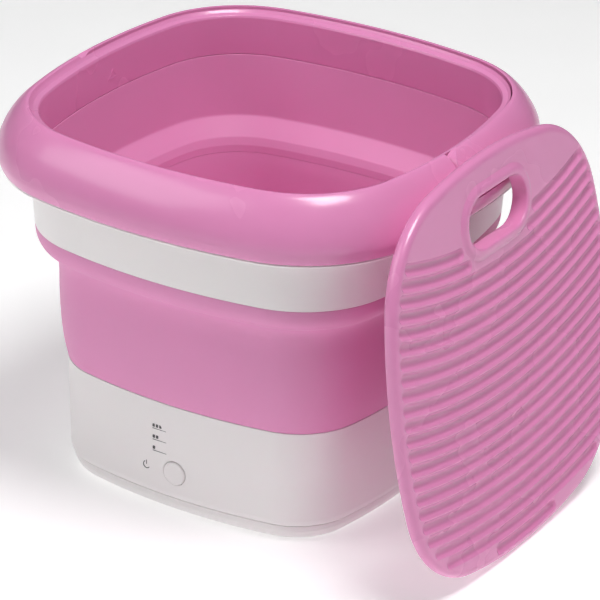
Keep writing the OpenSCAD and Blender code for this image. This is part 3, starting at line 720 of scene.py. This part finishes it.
def even_normals(piece):
    """Lets the large flat faces set the shading at their edges."""
    modifier = piece.modifiers.new("even_normals", "WEIGHTED_NORMAL")
    modifier.keep_sharp = True
    return piece


def make_lid():
    border = curve_through([(-LID_EDGE - 1.5, 0), (-2.4, 1.1), (-0.5, 3.5), (0, LID_T - 5.4), (-0.5, LID_T - 3.2),
                            (-2, LID_T - 1.2), (-4.2, LID_T - 0.25), (-6.5, LID_T)], 4)
    lid = loft("washboard", LID, border, closed=False)
    hole = Stadium(HOLE_V, HOLE_W, HOLE_H)
    lip_low = LID_T - 0.5
    lip = loft("lip", hole, [(10, lip_low), (9.2, LID_T + 0.1), (8, LID_T + 0.55), (6.8, LID_T + 1.3),
                             (5.6, LID_T + 2.0), (4.2, LID_T + 2.4), (3, LID_T + LIP_RISE),
                             (-3, LID_T + LIP_RISE)], closed=False)
    combine(lid, [lip], "UNION")
    back = loft("back", LID, [(-3, -1), (-3, LID_T - 5.2), (-5, LID_T - 4.6)], closed=False)
    wall = loft("wall", hole, [(2.5, -2), (2.5, LID_T)], closed=False)
    half, past = RIB_T / 2, LID_HALF_H + 7
    ribs = [prism("rib", [(x - half, -past), (x + half, -past), (x + half, past), (x - half, past)], 1.2, LID_T)
            for x in (-70, 0, 70)]
    ribs += [prism("rib", [(-past, y - half), (past, y - half), (past, y + half), (-past, y + half)], 1.2, LID_T)
             for y in (-80, 0)]
    combine(back, [wall] + ribs, "DIFFERENCE")
    combine(lid, [back], "DIFFERENCE")
    through = loft("through", hole, [(1.4, -1), (0.7, 0.1), (0, 0.9), (0, LID_T + 1.2), (0.3, LID_T + 1.9),
                                     (1.0, LID_T + 2.35), (2.0, LID_T + 2.56), (2.0, LID_T + 4)], closed=False)
    combine(lid, [through, join(make_flutes())], "DIFFERENCE", smooth_angle=18, solver="MANIFOLD")
    lid.data.transform(Matrix.Scale(MM, 4) @ LID_PLACE @ Matrix.Scale(1 / MM, 4))
    return even_normals(finish_piece(lid, GLOSS_PINK, "lid", "gloss_pink", "washboard_lid"))


# ---- Generic marks ----------------------------------------------------------------------------
def front_wall(x, z):
    """The base housing's outside at x and z, as a Y place."""
    d = -54.0 + (z - 30) * 0.8 / 35
    return -TUB.front_y(x, d)


def printed(name, outlines, x, z):
    """Flat printed shapes on the front of the base, from outlines round (x, z)."""
    parts = []
    for outline in outlines:
        y = front_wall(x, z)
        place = Matrix.Translation((x, y, z)) @ Matrix.Rotation(math.pi / 2, 4, "X")
        parts.append(prism(name, outline, -0.25, 0.09, place))
    return finish_piece(join(parts), INK, "base", "white_shell")


def bar(x0, x1, z0, z1):
    r = min(x1 - x0, z1 - z0) * 0.3
    return rounded([(x0, z0, r), (x1, z0, r), (x1, z1, r), (x0, z1, r)], steps=3)


def ring_arc(outer, inner, start, end, steps=28):
    angles = [math.radians(start + (end - start) * i / steps) for i in range(steps + 1)]
    return ([(outer * math.cos(t), outer * math.sin(t)) for t in angles]
            + [(inner * math.cos(t), inner * math.sin(t)) for t in reversed(angles)])


def make_marks():
    low, high = box_mm("light_guide")
    for count, z in zip((1, 2, 3), (57, 67, 77)):
        bars = [bar(-6.5 + 3.2 * k, -4.3 + 3.2 * k, -1.4, 1.4) for k in range(count)]
        bars.append(bar(-6.5, 6.5, -2.9, -2.5))
        printed(f"level_mark_{count}", bars, (low.x + high.x) / 2 - 3, z)
    symbol = [ring_arc(3.4, 2.7, -240, 60), bar(-0.35, 0.35, 0.4, 4.2)]
    printed("power_mark", symbol, -25, BUTTON_Z)


def make_wall_mark():
    """A small raised open triangle inside the rim."""
    wall_x = -(HALF_X - 31.45)
    outer = rounded([(-7.5, -4.5, 1), (7.5, -4.5, 1), (0, 4.5, 1)], steps=4)
    inner = rounded([(-4.6, -3.1, 0.5), (4.6, -3.1, 0.5), (0, 2.4, 0.5)], steps=4)
    place = Matrix.Translation((wall_x, 12, 291.5)) @ ALONG_X
    mark = prism("wall_triangle", outer, -0.6, 0.5, place)
    hollow = prism("hollow", inner, -2, 2, place)
    combine(mark, [hollow], "DIFFERENCE")
    return finish_piece(mark, GLOSS_PINK, "ring", "gloss_pink")


# ---- The object -------------------------------------------------------------------------------
for make in (make_collar, make_handle, make_band, make_skirt, make_bellows, make_base_shell, make_base_plate,
             make_basin, make_impeller, make_cap_dome, make_button, make_drain_cap, make_lid):
    make()
make_marks()
make_wall_mark()
for part in frame["record"]["subparts"]:
    node = frame["nodes"][part["node"]]
    if not node.hide_render:
        paint(node, NODE_MATERIALS[part["material_slot"]])

# ---- Camera, lights and floor -----------------------------------------------------------------
AZIMUTH, ELEVATION, ROLL = (math.radians(a) for a in (32.1, 25.8, 1.3))
TARGET = Vector((21.6, 13.6, 137.6)) * MM
DISTANCE = 3.02
FOCAL, SENSOR = 224.7, 36.0


def make_camera():
    data = bpy.data.cameras.new("camera")
    data.lens, data.sensor_width = FOCAL, SENSOR
    data.clip_start, data.clip_end = 0.1, 30
    camera = bpy.data.objects.new("camera", data)
    back = Vector((math.sin(AZIMUTH) * math.cos(ELEVATION), -math.cos(AZIMUTH) * math.cos(ELEVATION),
                   math.sin(ELEVATION)))
    right = Vector((math.cos(AZIMUTH), math.sin(AZIMUTH), 0))
    up = back.cross(right)
    turned_right = right * math.cos(ROLL) + up * math.sin(ROLL)
    turned_up = back.cross(turned_right)
    camera.matrix_world = Matrix((
        (turned_right.x, turned_up.x, back.x, TARGET.x + back.x * DISTANCE),
        (turned_right.y, turned_up.y, back.y, TARGET.y + back.y * DISTANCE),
        (turned_right.z, turned_up.z, back.z, TARGET.z + back.z * DISTANCE),
        (0, 0, 0, 1)))
    bpy.context.scene.collection.objects.link(camera)
    bpy.context.scene.camera = camera


def softbox(name, place, size, power, aim=(0, 0, 0.15)):
    """A square light of the given side, pointed at the middle of the tub."""
    data = bpy.data.lights.new(name, "AREA")
    data.size = size
    data.energy = power
    light = bpy.data.objects.new(name, data)
    light.location = place
    light.rotation_mode = "QUATERNION"
    light.rotation_quaternion = (Vector(aim) - Vector(place)).to_track_quat("-Z", "Y")
    bpy.context.scene.collection.objects.link(light)


def make_stage():
    """A pale floor that curves up far behind the object, with a painted glow: it emits white light, strongest in the
    middle and fading out by 3 m.
    """
    floor_material = material("pale_floor", (0.9, 0.9, 0.9), 0.7, variation=0.01, bump=0.0)
    shader = floor_material.node_tree.nodes["Principled BSDF"]
    # Painted glow: the floor itself emits white light, a pool of light brightest within 0.9 m of the middle and gone
    # past 3 m.
    shader.inputs["Emission Color"].default_value = (1, 1, 1, 1)
    tree = floor_material.node_tree
    place = next(n for n in tree.nodes if n.type == "TEX_COORD")
    reach = tree.nodes.new("ShaderNodeVectorMath")
    reach.operation = "LENGTH"
    glow = tree.nodes.new("ShaderNodeMapRange")
    glow.interpolation_type = "SMOOTHSTEP"
    for key, value in (("From Min", 0.9), ("From Max", 3.0), ("To Min", 0.35), ("To Max", 0.0)):
        glow.inputs[key].default_value = value
    tree.links.new(place.outputs["Object"], reach.inputs[0])
    tree.links.new(reach.outputs["Value"], glow.inputs["Value"])
    tree.links.new(glow.outputs["Result"], shader.inputs["Emission Strength"])
    radius, bend, height = 13.0, 3.1, 10.4
    section = [(0, 0), (radius - bend, 0)]
    section += [(radius - bend + bend * math.sin(t), bend - bend * math.cos(t))
                for t in (math.radians(10 * k) for k in range(1, 10))]
    section.append((radius, height))
    floor = turned("floor", [(r / MM, z / MM) for r, z in section], steps=64)
    floor.data.polygons.foreach_set("use_smooth", [True] * len(floor.data.polygons))
    paint(floor, floor_material)


def make_world():
    world = bpy.data.worlds.new("studio")
    world.use_nodes = True
    background = world.node_tree.nodes["Background"]
    background.inputs["Color"].default_value = (1, 1, 1, 1)
    background.inputs["Strength"].default_value = 0.83
    bpy.context.scene.world = world
    bpy.context.scene.view_settings.view_transform = "Standard"


make_camera()
make_stage()
make_world()
softbox("key_left", (-1.7, -1.9, 2.1), 1.9, 29)
softbox("top_right", (0.75, -0.2, 2.6), 1.0, 50)
